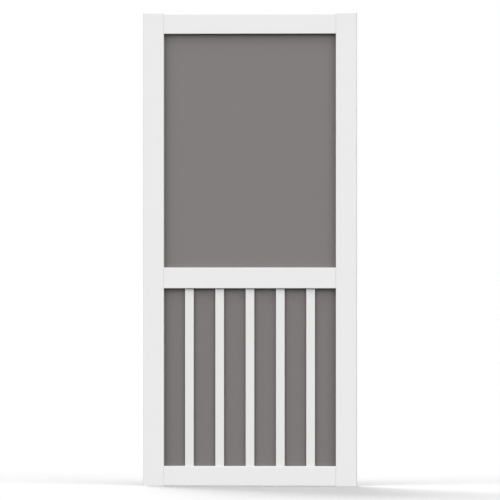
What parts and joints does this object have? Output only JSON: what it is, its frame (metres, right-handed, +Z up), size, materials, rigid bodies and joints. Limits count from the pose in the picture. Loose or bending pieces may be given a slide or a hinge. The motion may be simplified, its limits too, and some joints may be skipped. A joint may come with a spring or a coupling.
{
  "type": "hinged screen door",
  "caption": "Tall white hollow vinyl screen door leaf: stiles and rails round two insect screen panels, with upright flat bars in front of the lower one.",
  "frame": {"origin": "foot of the left stile's outer edge, where the hinges go, in the middle of the door's thickness", "axes": "+Z up along the hinge edge, +X across the door towards the latch edge, front faces -Y"},
  "size_m": [0.9144, 0.0318, 2.0193],
  "materials": {
    "white_vinyl": "white, low gloss, extruded",
    "end_cap": "white, moulded, satin",
    "screen_cloth": "warm grey coated fibreglass, plain weave, 18 by 16 threads an inch",
    "spline_cord": "grey flexible vinyl, ribbed"
  },
  "bodies": {
    "root": {"left_stile": "white_vinyl", "right_stile": "white_vinyl", "top_rail": "white_vinyl", "middle_rail": "white_vinyl", "bottom_rail": "white_vinyl", "bar_1": "white_vinyl", "bar_2": "white_vinyl", "bar_3": "white_vinyl", "bar_4": "white_vinyl", "bar_5": "white_vinyl", "left_top_cap": "end_cap", "right_top_cap": "end_cap", "left_foot_plugs": "end_cap", "right_foot_plugs": "end_cap", "upper_screen": "screen_cloth", "lower_screen": "screen_cloth", "upper_spline_left": "spline_cord", "upper_spline_right": "spline_cord", "upper_spline_bottom": "spline_cord", "upper_spline_top": "spline_cord", "lower_spline_left": "spline_cord", "lower_spline_right": "spline_cord", "lower_spline_bottom": "spline_cord", "lower_spline_top": "spline_cord"}
  },
  "joints": []
}
